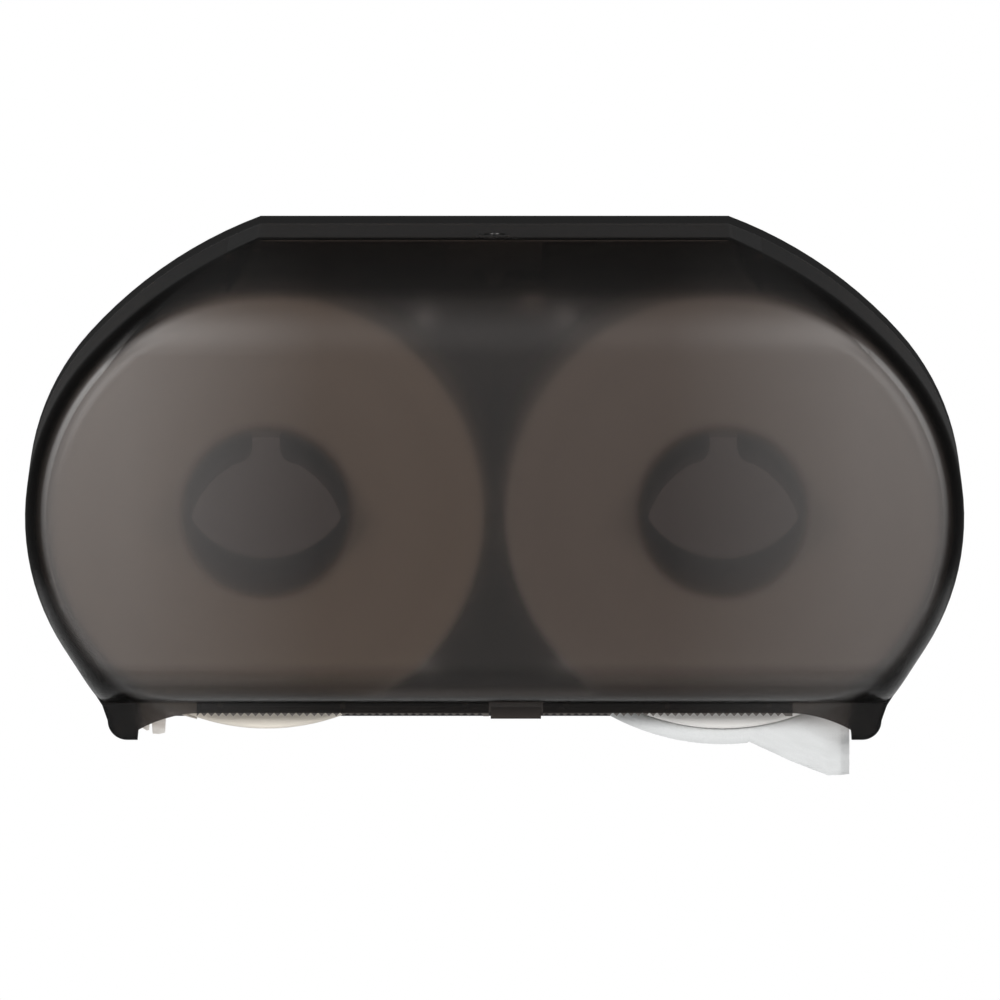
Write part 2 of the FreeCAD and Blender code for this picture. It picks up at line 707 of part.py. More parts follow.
# A bent steel strip: a foot on the back plate, a long arm and an upturned catch
def make_strike_bracket():
    catch_back = lock_y - s.cam_width / 2 - s.strike_gap
    catch_front = catch_back - s.strike_thickness
    arm_bottom = strike_top - s.strike_thickness
    side_loop = [
        (foot_back, strike_top - s.strike_foot),
        (foot_back, strike_top),
        (catch_back, strike_top),
        (catch_back, cam_top),
        (catch_front, cam_top),
        (catch_front, arm_bottom),
        (foot_front, arm_bottom),
        (foot_front, strike_top - s.strike_foot),
    ]
    body = new_body("strike_bracket")
    pad(body, "strike_strip", "YZ_Plane", s.strike_side, s.strike_width, side_loop)
    hole = s.screw_diameter / 2 + s.screw_fit
    holes = [dict(x=strike_x, y=z, radius=hole) for z in strike_screw_heights]
    pocket(body, "strike_holes", -foot_back, s.strike_thickness, True, *holes)
    return body


def make_strike_screws():
    tip = -(s.plate / 2)
    screws = []
    for number, z in enumerate(strike_screw_heights):
        screws.append(screw(
            f"strike_screw_{number}", "y", (strike_x, z),
            foot_front, foot_front - s.screw_head_height, tip,
            s.screw_diameter / 2, s.screw_head_diameter / 2))
    return group("strike_screws", *screws)


# The cover: the space between two forms, less the mouth that the paper comes out of
def make_front_cover():
    outer_back = -cover_back
    heel_reach = squared(s.ear_drop) - squared(outer_back - hinge_y)
    outer = cover_form("cover_outer", as_size(0), cover_back, [
        (hinge_y, ear_z),
        (outer_back, hinge_z - root(heel_reach), s.ear_drop),
        (outer_back, top_z),
    ])
    inner_depth = cover_back - 2 * s.wall
    inner = cover_form("cover_inner", s.wall, inner_depth, [
        (hinge_y, ear_z + s.wall),
        (-inner_depth, hinge_z),
        (-inner_depth, top_z - s.wall),
    ])
    outer_round = rounded("cover_outer_round", outer, s.top_round, s.side_round)
    inner_round = rounded("cover_inner_round", inner, s.top_round - s.wall, s.side_round - s.wall)
    mouth = new_body("mouth")
    arch_radius = (squared(s.lip_arch_run) + squared(s.lip_arch_drop)) / (2 * s.lip_arch_drop)
    mouth_loop = mirrored([
        (ear_inner - s.lip_arch_run, lip_z),
        (ear_inner, lip_z - s.lip_arch_drop, -arch_radius),
        (ear_inner, ear_z - s.wall),
    ])
    pad(mouth, "mouth_block", "XZ_Plane", inner_depth, s.case_depth, mouth_loop)
    mouth_room = box("mouth_room", (-ear_inner, ear_inner), (lip_y, -inner_depth),
                     (ear_z - s.wall, lip_z))
    shell = cut("cover_shell", outer_round, inner_round, mouth, mouth_room)
    added = [shell]
    removed = [rod("lock_hole", "z", (0, lock_y), *lock_hole_ends(), s.barrel_diameter / 2 + s.barrel_fit)]
    for side, sign in SIDES:
        boss_x = on_side(sign, ear_inner, ear_outer)
        boss = rod(f"ear_boss_rod_{side}", "x", (hinge_y, hinge_z), *boss_x, s.ear_boss_radius)
        trimmed = doc.addObject("Part::Common", f"ear_boss_{side}")
        trimmed.Base = boss
        trimmed.Tool = outer_round
        added.append(trimmed)
        hole_x = on_side(sign, ear_inner - s.wall, ear_inner + s.pin_bite + s.ear_gap)
        hole = s.pin_diameter / 2 + s.pin_fit
        removed.append(rod(f"pin_hole_{side}", "x", (hinge_y, hinge_z), *hole_x, hole))
        screw_x = sign * s.housing_screw_side
        boss_low = housing_bottom + s.housing_floor + s.housing_fit
        boss_high = top_z - s.wall / 2
        boss = rod(f"housing_boss_{side}", "z", (screw_x, lock_y), boss_low, boss_high,
                   s.housing_boss_diameter / 2)
        added.append(boss)
        pilot = s.screw_diameter / 2 + s.thread_fit
        removed.append(rod(f"housing_pilot_{side}", "z", (screw_x, lock_y), boss_low - s.wall,
                           housing_top, pilot))
        for number, x in enumerate(stud_places(sign)):
            stud_end = lip_y + s.bar_thickness + 2 * s.clip_thickness
            added.append(rod(f"stud_{side}_{number}", "y", (x, lip_z + s.stud_rise),
                             lip_y - s.wall / 2, stud_end, s.stud_diameter / 2))
    tab_high = s.tab_low + s.tab_width
    added.append(box("tab", (s.tab_low, tab_high), (lip_y - s.wall, lip_y + s.bar_thickness),
                     (lip_z - s.tab_drop, lip_z + s.wall)))
    for number in range(GRIP_RIBS):
        x = (number - (GRIP_RIBS - 1) / 2) * s.grip_pitch
        added.append(box(f"grip_rib_{number}", (x - s.grip_width / 2, x + s.grip_width / 2),
                         (flat_front, flat_front + s.grip_depth),
                         (top_z - s.wall / 2, top_z + s.grip_height)))
    return cut("front_cover", fuse("cover_with_bosses", *added), *removed)


def lock_hole_ends():
    return top_z - 2 * s.wall, top_z + s.wall


# Each tear bar reaches from the tab to an equal distance left or right
def bar_ends(sign):
    if sign < 0:
        return -bar_reach, s.tab_low - s.bar_gap
    return s.tab_low + s.tab_width + s.bar_gap, bar_reach


def stud_places(sign):
    low, high = bar_ends(sign)
    step = (high - low - 2 * s.stud_inset) / (STUDS_PER_BAR - 1)
    return [low + s.stud_inset + number * step for number in range(STUDS_PER_BAR)]


# A strip behind the lip, with a notch repeated along its lower edge
def make_tear_bar(side, sign):
    low, high = bar_ends(sign)
    tip_z = lip_z - s.tooth_depth
    back = -lip_y - s.bar_thickness
    body = new_body(f"tear_bar_{side}")
    strip = [(low, tip_z), (high, tip_z), (high, lip_z + s.bar_height), (low, lip_z + s.bar_height)]
    pad(body, f"strip_{side}", "XZ_Plane", back, s.bar_thickness, strip)
    hole = s.stud_diameter / 2 + s.stud_fit
    holes = [dict(x=x, y=lip_z + s.stud_rise, radius=hole) for x in stud_places(sign)]
    pocket(body, f"stud_holes_{side}", back, s.bar_thickness, True, *holes)
    notch = [(low, tip_z), (low + s.tooth_pitch, tip_z), (low + s.tooth_pitch / 2, lip_z)]
    notch_cut = pocket(body, f"notch_{side}", back, s.bar_thickness, True, notch)
    doc.recompute()
    teeth = int((high - low).value / s.tooth_pitch.value)
    row = body.newObject("PartDesign::LinearPattern", f"teeth_{side}")
    row.Originals = [notch_cut]
    row.Direction = (notch_cut.Profile[0], ["H_Axis"])
    row.Occurrences = teeth
    bind(row, "Length", s.tooth_pitch * (teeth - 1))
    body.Tip = row
    return body


def make_tear_bar_clips():
    clips = []
    back = lip_y + s.bar_thickness
    for side, sign in SIDES:
        for number, x in enumerate(stud_places(sign)):
            middle = (x, lip_z + s.stud_rise)
            name = f"tear_bar_clip_{side}_{number}"
            ring = rod(name + "_ring", "y", middle, back, back + s.clip_thickness, s.clip_diameter / 2)
            hole = rod(name + "_hole", "y", middle, back - s.wall, back + s.wall,
                       s.stud_diameter / 2 + s.thread_fit)
            clips.append(cut(name, ring, hole))
    return group("tear_bar_clips", *clips)


def make_lock_housing():
    front = flat_front + s.housing_setback
    half = s.housing_width / 2
    block = box("housing_block", (-half, half), (front, front + s.housing_depth),
                (housing_bottom, housing_top))
    low = housing_bottom - s.wall
    high = housing_top + s.wall
    holes = [rod("barrel_hole", "z", (0, lock_y), low, high, s.barrel_diameter / 2 + s.barrel_fit)]
    for side, sign in SIDES:
        middle = (sign * s.housing_screw_side, lock_y)
        socket_low = housing_bottom + s.housing_floor
        socket = s.housing_boss_diameter / 2 + s.housing_fit
        holes.append(rod(f"boss_socket_{side}", "z", middle, socket_low, high, socket))
        holes.append(rod(f"housing_screw_hole_{side}", "z", middle, low, high,
                         s.screw_diameter / 2 + s.screw_fit))
    return cut("lock_housing", block, *holes)


def make_housing_screws():
    screws = []
    for side, sign in SIDES:
        screws.append(screw(
            f"housing_screw_{side}", "z", (sign * s.housing_screw_side, lock_y),
            housing_bottom, housing_bottom - s.screw_head_height,
            housing_bottom + s.housing_floor + s.housing_screw_bite,
            s.screw_diameter / 2, s.screw_head_diameter / 2))
    return group("lock_housing_screws", *screws)


def make_lock_barrel():
    tube = rod("barrel_rod", "z", (0, lock_y), barrel_bottom, top_z, s.barrel_diameter / 2)
    bore = rod("barrel_bore", "z", (0, lock_y), barrel_bottom - s.wall, top_z + s.wall,
               s.plug_diameter / 2 + s.plug_fit)
    return cut("lock_barrel", tube, bore)


def make_lock_nut():
    body = new_body("lock_nut")
    corner = s.nut_width / 2 / cosine(as_size(180 / NUT_SIDES))
    hexagon = []
    for number in range(NUT_SIDES):
        angle = as_size(360 / NUT_SIDES * number)
        hexagon.append((corner * cosine(angle), lock_y + corner * sine(angle)))
    hole = dict(x=0, y=lock_y, radius=s.barrel_diameter / 2 + s.thread_fit)
    pad(body, "nut_hexagon", "XY_Plane", housing_bottom - s.nut_height, s.nut_height, hexagon, hole)
    return body


def make_lock_plug():
    barrel_part = rod("plug_rod", "z", (0, lock_y), cam_top, top_z - s.plug_sink, s.plug_diameter / 2)
    tail = rod("plug_tail", "z", (0, lock_y), cam_bottom, cam_top, s.tail_diameter / 2)
    half_width = s.keyway_width / 2
    half_length = s.keyway_length / 2
    keyway = box("keyway", (-half_width, half_width), (lock_y - half_length, lock_y + half_length),
                 (top_z - s.plug_sink - s.keyway_depth, top_z))
    thread = rod("plug_thread", "z", (0, lock_y), cam_bottom - s.wall, cam_bottom + s.cam_screw_bite,
                 s.screw_diameter / 2 + s.thread_fit)
    return cut("lock_plug", fuse("plug_turned", barrel_part, tail), keyway, thread)


# At rest the cam points to the wall, clear of the strike
def make_lock_cam():
    half = s.cam_width / 2
    tip_y = lock_y + s.cam_length - half
    height = (cam_bottom, cam_top)
    hub = rod("cam_hub", "z", (0, lock_y), *height, half)
    tip = rod("cam_tip", "z", (0, tip_y), *height, half)
    tongue = box("cam_tongue", (-half, half), (lock_y, tip_y), height)
    hole = rod("cam_hole", "z", (0, lock_y), cam_bottom - s.wall, cam_top + s.wall,
               s.tail_diameter / 2 + s.plug_fit)
    return cut("lock_cam", fuse("cam_plate", hub, tongue, tip), hole)


def make_cam_screw():
    return screw("cam_screw", "z", (0, lock_y), cam_bottom, cam_bottom - s.cam_screw_head,
                 cam_bottom + s.cam_screw_bite, s.screw_diameter / 2, s.cam_screw_width / 2)


def make_roll(side, sign):
    middle = (sign * axis_x, 0)
    paper = rod(f"roll_rod_{side}", "y", middle, roll_front, roll_back, roll_radius)
    hole = rod(f"roll_hole_{side}", "y", middle, roll_front - s.wall, roll_back + s.wall,
               core_radius + s.core_wall + s.core_fit)
    return cut(f"tissue_roll_{side}", paper, hole)


def make_core(side, sign):
    middle = (sign * axis_x, 0)
    tube = rod(f"core_rod_{side}", "y", middle, roll_front, roll_back, core_radius + s.core_wall)
    bore = rod(f"core_bore_{side}", "y", middle, roll_front - s.wall, roll_back + s.wall, core_radius)
    return cut(f"core_{side}", tube, bore)


# The right roll's loose turn sags below the roll and ends in a slanted flap in front
def make_right_tail():
    start_radius = roll_radius + s.paper_gap
    start_run = start_radius * cosine(s.tail_angle)
    start_z = -(start_radius * sine(s.tail_angle))
    bottom = roll_radius + s.sag
    depth = bottom + start_z
    inner = (squared(start_run) + squared(depth)) / (2 * depth)
    centre_z = inner - bottom
    outer = inner + s.paper_thickness
    end_run = s.flap_run
    grow = outer / inner
    end_z = centre_z - root(squared(inner) - squared(end_run))
    end_far_z = centre_z - root(squared(outer) - squared(end_run))
    turn = [
        (axis_x - start_run, start_z),
        (axis_x + end_run, end_z, inner),
        (axis_x + end_run, end_far_z),
        (axis_x - start_run * grow, centre_z + (start_z - centre_z) * grow, -outer),
    ]
    tip_x = lug_outer - s.ear_gap
    tip_z = -(roll_radius + s.flap_drop)
    flap = [
        (axis_x + s.flap_start, -bottom - s.paper_thickness / 2),
        (tip_x - s.flap_end, tip_z),
        (tip_x, tip_z),
        (tip_x, ear_z - s.ear_gap),
        (axis_x + end_run, end_z - s.paper_thickness / 2),
    ]
    body = new_body("tissue_tail_right")
    back = -roll_back + s.tail_margin
    front = -roll_front - s.tail_margin
    pad(body, "loose_turn", "XZ_Plane", back, front - back, turn)
    pad(body, "loose_flap", "XZ_Plane", front - s.paper_thickness, s.paper_thickness, flap)
    return body


# The left roll's short end lies on the roll and hangs in front of the hinge lug
def make_left_tail():
    inner = roll_radius + s.paper_gap
    outer = inner + s.paper_thickness
    middle = inner + s.paper_thickness / 2
    near = s.lug_offset - s.scrap_width
    far = s.lug_offset + s.lug_thickness - s.ear_gap

    def height(radius, run):
        return -root(squared(radius) - squared(run))

    turn = [
        (-axis_x - far, height(inner, far)),
        (-axis_x - near, height(inner, near), inner),
        (-axis_x - near, height(outer, near)),
        (-axis_x - far, height(outer, far), -outer),
    ]
    inside = s.lug_offset - s.ear_gap
    scrap = [
        (-axis_x - far, height(middle, far)),
        (-axis_x - far, ear_z + s.scrap_tear),
        (-axis_x - s.lug_offset - s.scrap_tear, ear_z),
        (-axis_x - inside, ear_z + s.scrap_tear),
        (-axis_x - inside, height(middle, inside)),
    ]
    body = new_body("tissue_tail_left")
    back = -hinge_y + s.lug_radius + s.tail_margin
    front = -roll_front - s.tail_margin
    pad(body, "short_turn", "XZ_Plane", back, front - back, turn)
    pad(body, "torn_end", "XZ_Plane", front - s.paper_thickness, s.paper_thickness, scrap)
    return body


nodes = [
    make_back_plate(),
    make_spindle_screws(),
    make_strike_bracket(),
    make_strike_screws(),
    make_left_tail(),
    make_right_tail(),
    make_front_cover(),
    make_tear_bar_clips(),
    make_lock_housing(),
    make_housing_screws(),
    make_lock_barrel(),
    make_lock_nut(),
    make_lock_plug(),
    make_lock_cam(),
    make_cam_screw(),
]
for side, sign in SIDES:
    nodes += [
        make_spindle(side, sign),
        make_hinge_pin(side, sign),
        make_tear_bar(side, sign),
        make_roll(side, sign),
        make_core(side, sign),
    ]
doc.recompute()

failed = [thing.Name for thing in doc.Objects if {"Invalid", "Error"} & set(thing.State)]
for node in nodes:
    if node.Shape.isNull() or not node.Shape.isValid() or not node.Shape.Solids:
        failed.append(node.Label)
if failed:
    raise RuntimeError("failed: " + ", ".join(failed))

os.makedirs("parts", exist_ok=True)
for node in nodes:
    node.Shape.exportStep(f"parts/{node.Label}.step")
    print(node.Label, len(node.Shape.Solids), round(node.Shape.Volume))
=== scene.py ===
import bpy
from math import cos, log, pi, radians, sin
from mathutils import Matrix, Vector, noise


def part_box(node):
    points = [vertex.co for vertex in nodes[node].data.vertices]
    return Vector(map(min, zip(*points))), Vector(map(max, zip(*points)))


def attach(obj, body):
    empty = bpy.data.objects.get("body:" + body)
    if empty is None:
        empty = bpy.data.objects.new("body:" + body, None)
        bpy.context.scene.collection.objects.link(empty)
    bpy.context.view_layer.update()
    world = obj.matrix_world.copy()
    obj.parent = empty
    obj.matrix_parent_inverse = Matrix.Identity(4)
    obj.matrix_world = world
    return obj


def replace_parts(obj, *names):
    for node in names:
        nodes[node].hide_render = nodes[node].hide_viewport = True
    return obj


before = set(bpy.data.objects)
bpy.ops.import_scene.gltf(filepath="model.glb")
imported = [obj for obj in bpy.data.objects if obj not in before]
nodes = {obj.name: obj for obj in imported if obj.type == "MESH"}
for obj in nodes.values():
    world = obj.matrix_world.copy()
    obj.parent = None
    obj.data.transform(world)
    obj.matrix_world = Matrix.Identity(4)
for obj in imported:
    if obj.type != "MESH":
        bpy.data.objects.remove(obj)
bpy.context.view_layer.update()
print("frame loaded:", len(nodes), "nodes")

axisX = 0.118  # each roll's axis, from the middle
sides = {"left": -1, "right": 1}


# shader sums


class Wire:  # a node's output that takes part in Python sums
    def __init__(self, finish, socket):
        self.finish, self.socket = finish, socket

    def combine(self, operation, first, second):
        return self.finish.add("ShaderNodeMath", {"operation": operation}, {0: first, 1: second})

    def __add__(self, other):
        return self.combine("ADD", self, other)

    def __radd__(self, other):
        return self.combine("ADD", other, self)

    def __sub__(self, other):
        return self.combine("SUBTRACT", self, other)

    def __rsub__(self, other):
        return self.combine("SUBTRACT", other, self)

    def __mul__(self, other):
        return self.combine("MULTIPLY", self, other)

    def __rmul__(self, other):
        return self.combine("MULTIPLY", other, self)

    def __pow__(self, other):
        return self.combine("POWER", self, other)

    def __rpow__(self, other):
        return self.combine("POWER", other, self)


class Finish:  # the node tree of one material, or of the world
    def __init__(self, holder):
        holder.use_nodes = True
        self.holder, self.tree = holder, holder.node_tree
        self.tree.nodes.clear()

    def add(self, kind, settings={}, inputs={}, output=0):
        node = self.tree.nodes.new(kind)
        for name, value in settings.items():
            if name == "stops":
                self.setStops(node.color_ramp, value)
            else:
                setattr(node, name, value)
        for name, value in inputs.items():
            if isinstance(value, Wire):
                self.tree.links.new(value.socket, node.inputs[name])
            else:
                node.inputs[name].default_value = value
        return Wire(self, node.outputs[output]) if node.outputs else None

    def setStops(self, ramp, stops):
        while len(ramp.elements) < len(stops):
            ramp.elements.new(1.0)
        for element, (place, colour) in zip(ramp.elements, stops):
            element.position, element.color = place, (*colour, 1.0)

    def place(self, centre=(0, 0, 0), stretch=(1, 1, 1)):  # object coordinates from a centre, stretched
        spot = self.add("ShaderNodeTexCoord", output="Object")
        moved = [-part * factor for part, factor in zip(centre, stretch)]
        return self.add("ShaderNodeMapping", {"vector_type": "POINT"},
                        {"Vector": spot, "Location": moved, "Scale": stretch})

    def noise(self, spot, scale, detail=2.0, roughness=0.5):
        return self.add("ShaderNodeTexNoise", {},
                        {"Vector": spot, "Scale": scale, "Detail": detail, "Roughness": roughness})

    def blend(self, factor, first, second):  # two colours
        return self.add("ShaderNodeMix", {"data_type": "RGBA"}, {0: factor, 6: first, 7: second}, 2)

    def ramp(self, value, *stops):
        return self.add("ShaderNodeValToRGB", {"stops": stops}, {"Fac": value})

    def between(self, value, low, high, toLow=0.0, toHigh=1.0):
        return self.add("ShaderNodeMapRange", {},
                        {0: value, 1: low, 2: high, 3: toLow, 4: toHigh})

    def axis(self, spot, name):
        return self.add("ShaderNodeSeparateXYZ", {}, {0: spot}, name)

    def bump(self, height, strength, distance, under=None):
        inputs = {"Height": height, "Strength": strength, "Distance": distance}
        return self.add("ShaderNodeBump", {}, {**inputs, "Normal": under} if under else inputs)

    def principled(self, **inputs):
        named = {name.replace("_", " "): value for name, value in inputs.items()}
        return self.add("ShaderNodeBsdfPrincipled", {}, named)

    def close(self, surface, volume=None):
        inputs = {"Surface": surface, "Volume": volume} if volume else {"Surface": surface}
        self.add("ShaderNodeOutputMaterial", {}, inputs)
        return self.holder


def newFinish(name):
    return Finish(bpy.data.materials.new(name))


def opaque(colour):
    return (*colour, 1.0)


def grey(level):
    return (level, level, level, 1.0)


# finishes

smoke = {  # rim, dull and round places are measured out from a roll's axis, curl places are heights
    "passed": (0.290, 0.252, 0.231), "wall": 0.0025, "density": 650.0,  # the light left after one wall
    "roughness": 0.26, "unevenness": 0.05, "cloudScale": 14, "ior": 1.49, "mirrorTint": 0.12,
    "grainScale": 1900, "grainStrength": 0.06, "grainDistance": 0.00012, "shadowPassed": 0.96,
    "coatIor": 1.95, "coatRoughness": 0.38, "coatFrom": 0.09, "coatTo": 0.19, "coatLow": 0.30,
    "frontFrom": -0.108, "frontTo": -0.120, "wallCoat": 0.35,
    "roundFrom": 0.1055, "roundTo": 0.1135, "roundSlope": 0.46, "roundGrown": 0.02,
    # painted shade: these keys darken the cover's base colour near the front rim, less at the top
    "rimShadeFrom": 0.1125, "rimTo": 0.1195, "rimShadeKept": 0.22,
    "dullFrom": 0.1128, "dullTo": 0.1168, "dullKept": 0.1,
    "topTo": 0.06, "topRimShade": 0.72, "topDull": 0.15,
    # painted shade: the curl heights darken the base colour on the lower curl and also dull the coat
    # there
    "curlFrom": -0.074, "curlTo": -0.087, "curlShadeKept": 0.40, "curlDull": 0.55,
}


def makeSmokedPlastic():  # clear at its faces, the tint grows with the way through it
    finish = newFinish("smokedPlastic")
    spot = finish.place()
    cloud = finish.noise(spot, smoke["cloudScale"], 3.0)
    grain = finish.noise(spot, smoke["grainScale"], 2.0)
    rough = smoke["roughness"] + (cloud - 0.5) * smoke["unevenness"]
    away = finish.add("ShaderNodeMath", {"operation": "ABSOLUTE"}, {0: finish.axis(spot, "X")})
    height = finish.axis(spot, "Z")
    past = finish.between(away, axisX, 1.0, 0.0, 1.0 - axisX)  # beyond a roll's axis
    out = (past * past + height * height) ** 0.5
    front = finish.between(finish.axis(spot, "Y"), smoke["frontFrom"], smoke["frontTo"])

    bend = finish.between(out, smoke["roundFrom"], 1.0, 0.0, 1.0 - smoke["roundFrom"])
    bend = bend * finish.between(past, 0.0, smoke["roundGrown"])
    steepness = smoke["roundSlope"] / 2 / (smoke["roundTo"] - smoke["roundFrom"])
    rim = finish.bump(bend * bend * -steepness, 1.0, 1.0)  # a wider rounding at the ends

    # painted shade: the base colour is darkened near the front rim to stand in for the dark edges, less
    # so at the top
    dark = finish.between(out, smoke["rimShadeFrom"], smoke["rimTo"], 0.0, 1 - smoke["rimShadeKept"])
    dark = front * finish.between(past, 0.0, smoke["topTo"], smoke["topRimShade"], 1.0) * dark
    # painted shade: the base colour is darkened on the lower curl to stand in for its dark reflection
    curl = finish.between(height, smoke["curlFrom"], smoke["curlTo"], 1.0, smoke["curlShadeKept"])
    shade = finish.add("ShaderNodeMath", {"operation": "MINIMUM"}, {0: 1 - dark, 1: curl})

    coat = finish.between(away, smoke["coatFrom"], smoke["coatTo"], smoke["coatLow"], 1.0)
    dull = front * finish.between(out, smoke["dullFrom"], smoke["dullTo"], 0.0, 1 - smoke["dullKept"])
    coat = coat * (1 - dull * finish.between(past, 0.0, smoke["topTo"], smoke["topDull"], 1.0))
    coat = coat * finish.between(height, smoke["curlFrom"], smoke["curlTo"], 1.0, smoke["curlDull"])
    coat = coat * finish.between(front, 0.0, 1.0, smoke["wallCoat"], 1.0)

    shell = finish.principled(
        Base_Color=finish.blend(shade, grey(0), grey(1)), Roughness=rough, IOR=smoke["ior"],
        Transmission_Weight=1.0, Specular_Tint=grey(smoke["mirrorTint"]), Coat_Weight=coat,
        Coat_Roughness=smoke["coatRoughness"], Coat_IOR=smoke["coatIor"],
        Normal=finish.bump(grain, smoke["grainStrength"], smoke["grainDistance"], rim))
    clear = finish.add("ShaderNodeBsdfTransparent", {}, {"Color": grey(smoke["shadowPassed"])})
    shadow = finish.add("ShaderNodeLightPath", output="Is Shadow Ray")
    soft = finish.add("ShaderNodeLightPath", output="Is Diffuse Ray")
    colour = [1 + log(part) / smoke["wall"] / smoke["density"] for part in smoke["passed"]]
    tint = finish.add("ShaderNodeVolumeAbsorption", {},
                      {"Color": opaque(colour), "Density": smoke["density"]})
    mixed = finish.add("ShaderNodeMixShader", {}, {0: shadow + soft, 1: shell, 2: clear})
    return finish.close(mixed, tint)


moulded = {"cloudScale": 18, "cloudRough": 0.10, "grainRough": 0.08, "grainDistance": 0.0003, "ior": 1.5}


def makeMoulded(name, colour, roughness, grainScale=900, strength=0.12, spread=0.12):
    finish = newFinish(name)
    spot = finish.place()
    cloud = finish.noise(spot, moulded["cloudScale"], 3.0)
    grain = finish.noise(spot, grainScale, 3.0)
    darker, lighter = ([part * factor for part in colour] for factor in (1 - spread, 1 + spread))
    rough = roughness + (cloud - 0.5) * moulded["cloudRough"] + (grain - 0.5) * moulded["grainRough"]
    return finish.close(finish.principled(
        Base_Color=finish.blend(cloud, opaque(darker), opaque(lighter)), Roughness=rough,
        IOR=moulded["ior"], Normal=finish.bump(grain, strength, moulded["grainDistance"])))


brushed = {"lineScale": 260, "lineRough": 0.16, "lineStrength": 0.08, "lineDistance": 0.0001,
           "spotScale": 55, "spotRough": 0.10}


def makeBrushedMetal(name, colour, roughness, stretch, worn=0.1):
    finish = newFinish(name)
    lines = finish.noise(finish.place(stretch=stretch), brushed["lineScale"], 3.0)
    spots = finish.noise(finish.place(), brushed["spotScale"], 4.0)
    rough = roughness + (lines - 0.5) * brushed["lineRough"] + (spots - 0.5) * brushed["spotRough"]
    duller = [part * (1 - worn) for part in colour]
    return finish.close(finish.principled(
        Base_Color=finish.blend(spots, opaque(duller), opaque(colour)), Metallic=1.0, Roughness=rough,
        Normal=finish.bump(lines, brushed["lineStrength"], brushed["lineDistance"])))


# brown cardboard, set darker than bare board: painted shade for the deep hole round the spindle
board = {"pale": (0.30, 0.21, 0.14), "dark": (0.20, 0.135, 0.085), "roughness": 0.86,
         "pitch": 0.055, "seamWidth": 0.03, "seamShade": 0.6, "turnsAdded": 8.0,
         "fibreScale": 420, "fibreStretch": (1, 0.3, 1), "fibreShare": 0.7,
         "fleckScale": 90, "fleckShare": 0.3, "bumpStrength": 0.35, "bumpDistance": 0.0003}


def makeBoard(name, centreX):  # cardboard wound in a spiral
    finish = newFinish(name)
    centre = (centreX, 0, 0)
    spot = finish.place(centre)
    fibres = finish.noise(finish.place(centre, board["fibreStretch"]), board["fibreScale"], 5.0, 0.65)
    flecks = finish.noise(spot, board["fleckScale"], 3.0)
    apart, along, up = (finish.axis(spot, axis) for axis in "XYZ")
    turn = finish.add("ShaderNodeMath", {"operation": "ARCTAN2"}, {0: up, 1: apart}) * (0.5 / pi)
    turns = along * (1 / board["pitch"]) + turn + board["turnsAdded"]
    wound = finish.add("ShaderNodeMath", {"operation": "FRACT"}, {0: turns})
    seam = finish.between(wound, board["seamWidth"], 0.0)
    shade = fibres * board["fibreShare"] + flecks * board["fleckShare"]
    paper = finish.blend(shade, opaque(board["dark"]), opaque(board["pale"]))
    return finish.close(finish.principled(
        Base_Color=finish.blend(seam * board["seamShade"], paper, opaque(board["dark"])),
        Roughness=board["roughness"],
        Normal=finish.bump(fibres - seam, board["bumpStrength"], board["bumpDistance"])))


tissue = {"fibreScale": 1500, "fibreBump": 0.3, "sheenRoughness": 0.6}
rollPaper = {"cream": ((0.72, 0.66, 0.57), (0.84, 0.785, 0.70)),
             "white": ((0.72, 0.70, 0.67), (0.81, 0.797, 0.775)),
             "roughness": 0.93, "specular": 0.2, "sheen": 0.25,
             "layerScale": 520, "layerShare": 0.55, "layerBump": 0.8, "bandScale": 60, "bandShare": 0.3,
             "fibreShare": 0.15, "shadeFrom": 0.3, "shadeTo": 0.68, "strength": 0.5, "depth": 0.0006}


def makeRollPaper(name, centreX, colour):  # layered ends, embossed rim
    finish = newFinish(name)
    spot = finish.place((centreX, 0, 0))
    flat = finish.add("ShaderNodeVectorMath", {"operation": "MULTIPLY"}, {0: spot, 1: (1, 0, 1)})
    out = finish.add("ShaderNodeVectorMath", {"operation": "LENGTH"}, {0: flat}, "Value")
    layers = finish.add("ShaderNodeTexNoise", {"noise_dimensions": "1D"},
                        {"W": out, "Scale": rollPaper["layerScale"], "Detail": 6.0, "Roughness": 0.7})
    bands = finish.add("ShaderNodeTexNoise", {"noise_dimensions": "1D"},
                       {"W": out, "Scale": rollPaper["bandScale"], "Detail": 2.0})
    fibres = finish.noise(spot, tissue["fibreScale"], 3.0)
    shade = layers * rollPaper["layerShare"] + bands * rollPaper["bandShare"]
    shade = shade + fibres * rollPaper["fibreShare"]
    shade = finish.between(shade, rollPaper["shadeFrom"], rollPaper["shadeTo"])
    relief = layers * rollPaper["layerBump"] + fibres * tissue["fibreBump"]
    return finish.close(finish.principled(
        Base_Color=finish.blend(shade, *(opaque(part) for part in rollPaper[colour])),
        Roughness=rollPaper["roughness"], Specular_IOR_Level=rollPaper["specular"],
        Sheen_Weight=rollPaper["sheen"], Sheen_Roughness=tissue["sheenRoughness"],
        Normal=finish.bump(relief, rollPaper["strength"], rollPaper["depth"])))


loosePaper = {"roughness": 0.95, "specular": 0.15, "sheen": 0.3,
              "dotScale": 560, "dotSpread": 0.35, "dotBump": 0.7,
              "streakScale": 42, "streakStretch": (1.0, 6.0, 1.0), "streakShade": 0.9, "streakShare": 0.5,
              "shadeFrom": 0.25, "shadeTo": 0.7, "strength": 0.35, "depth": 0.0005}


